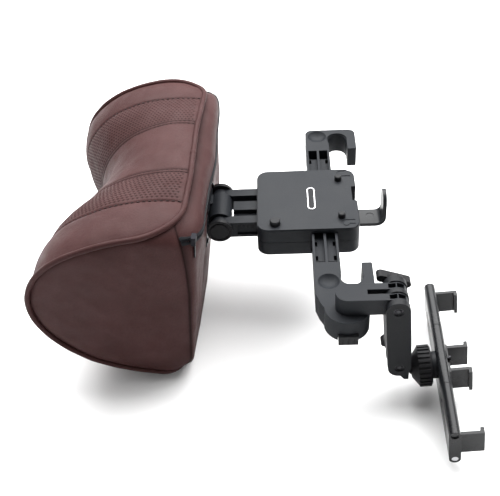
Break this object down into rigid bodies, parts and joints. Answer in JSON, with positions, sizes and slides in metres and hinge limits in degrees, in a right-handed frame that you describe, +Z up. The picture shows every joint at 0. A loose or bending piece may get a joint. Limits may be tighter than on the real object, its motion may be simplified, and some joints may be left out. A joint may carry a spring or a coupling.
{
  "type": "headrest neck pillow attachment",
  "caption": "Neck pillow on an arm with clamps for two headrest posts, plus a bag hook and a folding device holder with sprung jaws.",
  "frame": {"origin": "centre of the underside of the housing", "axes": "+Z up along the headrest posts, -X towards the sitter and the pillow, +X behind the seat, +Y to the sitter's right"},
  "size_m": [0.3315, 0.2965, 0.1519],
  "materials": {
    "shell_plastic": "fine moulded grain, black",
    "arm_plastic": "fine moulded grain, black",
    "hook_plastic": "satin black",
    "button_plastic": "smooth black",
    "cap_plastic": "smooth black",
    "knob_plastic": "moulded grain, black",
    "link_plastic": "moulded grain, black",
    "holder_plastic": "satin black",
    "board_plastic": "plain moulding",
    "badge_metal": "silver plated rim",
    "screw_steel": "zinc plated",
    "pin_steel": "turned",
    "spring_steel": "drawn wire",
    "zipper_metal": "black painted",
    "zipper_fabric": "woven black tape",
    "foam": "open cell foam",
    "pillow_leather": "burgundy brown, grained, part perforated"
  },
  "bodies": {
    "housing": {"housing_top": "shell_plastic", "housing_bottom": "shell_plastic", "housing_screws": "screw_steel", "badge_plate": "badge_metal", "bag_hook": "hook_plastic", "bag_hook_screw": "screw_steel", "arm_release_spring": "spring_steel", "right_release_spring": "spring_steel", "left_release_spring": "spring_steel"},
    "pillow_arm": {"pillow_arm": "arm_plastic", "hinge_pin": "pin_steel", "hinge_caps": "cap_plastic"},
    "pillow": {"pillow_bracket": "arm_plastic", "bracket_screws": "screw_steel", "pillow_back_board": "board_plastic", "pillow_foam": "foam", "pillow_cover": "pillow_leather", "zipper_tape": "zipper_fabric", "zipper_slider": "zipper_metal"},
    "zipper_pull": {"zipper_pull": "zipper_metal"},
    "arm_release": {"arm_release_button": "button_plastic"},
    "right_release": {"right_release_button": "button_plastic"},
    "left_release": {"left_release_button": "button_plastic"},
    "right_post_arm": {"right_post_arm": "arm_plastic"},
    "left_post_arm": {"left_post_arm": "arm_plastic", "pivot_release_spring": "spring_steel"},
    "pivot_release": {"pivot_release_tab": "button_plastic"},
    "tablet_arm": {"tablet_arm": "arm_plastic", "swivel_stud": "pin_steel"},
    "link": {"link": "link_plastic", "upper_insert": "screw_steel", "lower_insert": "screw_steel"},
    "upper_knob": {"upper_knob": "knob_plastic", "upper_bolt": "screw_steel"},
    "lower_knob": {"lower_knob": "knob_plastic", "lower_bolt": "screw_steel"},
    "ball_lug": {"ball_lug": "link_plastic"},
    "collar": {"collar_nut": "knob_plastic"},
    "holder": {"holder_socket": "link_plastic", "socket_screws": "screw_steel", "holder_body": "holder_plastic", "inner_claws": "holder_plastic", "far_slide_spring": "spring_steel", "near_slide_spring": "spring_steel"},
    "far_slide": {"far_slide": "holder_plastic", "far_end_screw": "screw_steel"},
    "near_slide": {"near_slide": "holder_plastic", "near_end_screw": "screw_steel"}
  },
  "joints": [
    {"name": "pillow_arm_slide", "type": "slide", "parent": "housing", "child": "pillow_arm", "axis": [-1, 0, 0], "range_m": [-0.014, 0.008]},
    {"name": "pillow_tilt", "type": "hinge", "parent": "pillow_arm", "child": "pillow", "pos_m": [-0.0698, 0, 0.014], "axis": [0, 1, 0], "range_deg": [-25, 25]},
    {"name": "zipper_pull_swing", "type": "hinge", "parent": "pillow", "child": "zipper_pull", "pos_m": [-0.08143, -0.09493, 0.06651], "axis": [-0.0802, -0.9968, 0], "range_deg": [0, 85]},
    {"name": "arm_release_press", "type": "slide", "parent": "housing", "child": "arm_release", "axis": [0, 0, -1], "range_m": [0, 0.003], "stiffness_N_per_m": 500, "springref_m": -0.003, "deforming": ["arm_release_spring"]},
    {"name": "right_release_press", "type": "slide", "parent": "housing", "child": "right_release", "axis": [0, 0, -1], "range_m": [0, 0.003], "stiffness_N_per_m": 500, "springref_m": -0.003, "deforming": ["right_release_spring"]},
    {"name": "left_release_press", "type": "slide", "parent": "housing", "child": "left_release", "axis": [0, 0, -1], "range_m": [0, 0.003], "stiffness_N_per_m": 500, "springref_m": -0.003, "deforming": ["left_release_spring"]},
    {"name": "right_arm_slide", "type": "slide", "parent": "housing", "child": "right_post_arm", "axis": [0, 1, 0], "range_m": [-0.016, 0.008]},
    {"name": "left_arm_slide", "type": "slide", "parent": "housing", "child": "left_post_arm", "axis": [0, -1, 0], "range_m": [-0.016, 0.008]},
    {"name": "pivot_release_press", "type": "slide", "parent": "left_post_arm", "child": "pivot_release", "axis": [0, 1, 0], "range_m": [0, 0.0018], "stiffness_N_per_m": 400, "springref_m": -0.003, "deforming": ["pivot_release_spring"]},
    {"name": "tablet_arm_swing", "type": "hinge", "parent": "left_post_arm", "child": "tablet_arm", "pos_m": [0.0239, -0.117, 0.0209], "axis": [0, 0, 1], "range_deg": [-100, 6]},
    {"name": "link_swing", "type": "hinge", "parent": "tablet_arm", "child": "link", "pos_m": [0.0581, -0.117, 0.0281], "axis": [0, 1, 0], "range_deg": [-120, 14]},
    {"name": "upper_knob_turn", "type": "hinge", "parent": "link", "child": "upper_knob", "pos_m": [0.0581, -0.117, 0.0281], "axis": [0, 1, 0], "continuous": true},
    {"name": "lower_knob_turn", "type": "hinge", "parent": "link", "child": "lower_knob", "pos_m": [0.06242, -0.117, -0.03074], "axis": [0, 1, 0], "continuous": true},
    {"name": "holder_swing", "type": "hinge", "parent": "link", "child": "ball_lug", "pos_m": [0.06242, -0.117, -0.03074], "axis": [0, 1, 0], "range_deg": [-10, 60]},
    {"name": "ball_tilt", "type": "hinge", "parent": "ball_lug", "child": "collar", "pos_m": [0.077, -0.117, -0.0453], "axis": [-0.1045, 0.0018, 0.9945], "range_deg": [-14, 14]},
    {"name": "holder_roll", "type": "hinge", "parent": "collar", "child": "holder", "pos_m": [0.077, -0.117, -0.0453], "axis": [0.9944, -0.0174, 0.1045], "continuous": true},
    {"name": "far_slide_pull", "type": "slide", "parent": "holder", "child": "far_slide", "axis": [0.0175, 0.9998, 0], "range_m": [0, 0.018], "stiffness_N_per_m": 60, "springref_m": -0.02, "deforming": ["far_slide_spring"]},
    {"name": "near_slide_pull", "type": "slide", "parent": "holder", "child": "near_slide", "axis": [-0.0175, -0.9998, 0], "range_m": [0, 0.018], "stiffness_N_per_m": 60, "springref_m": -0.02, "deforming": ["near_slide_spring"]}
  ]
}
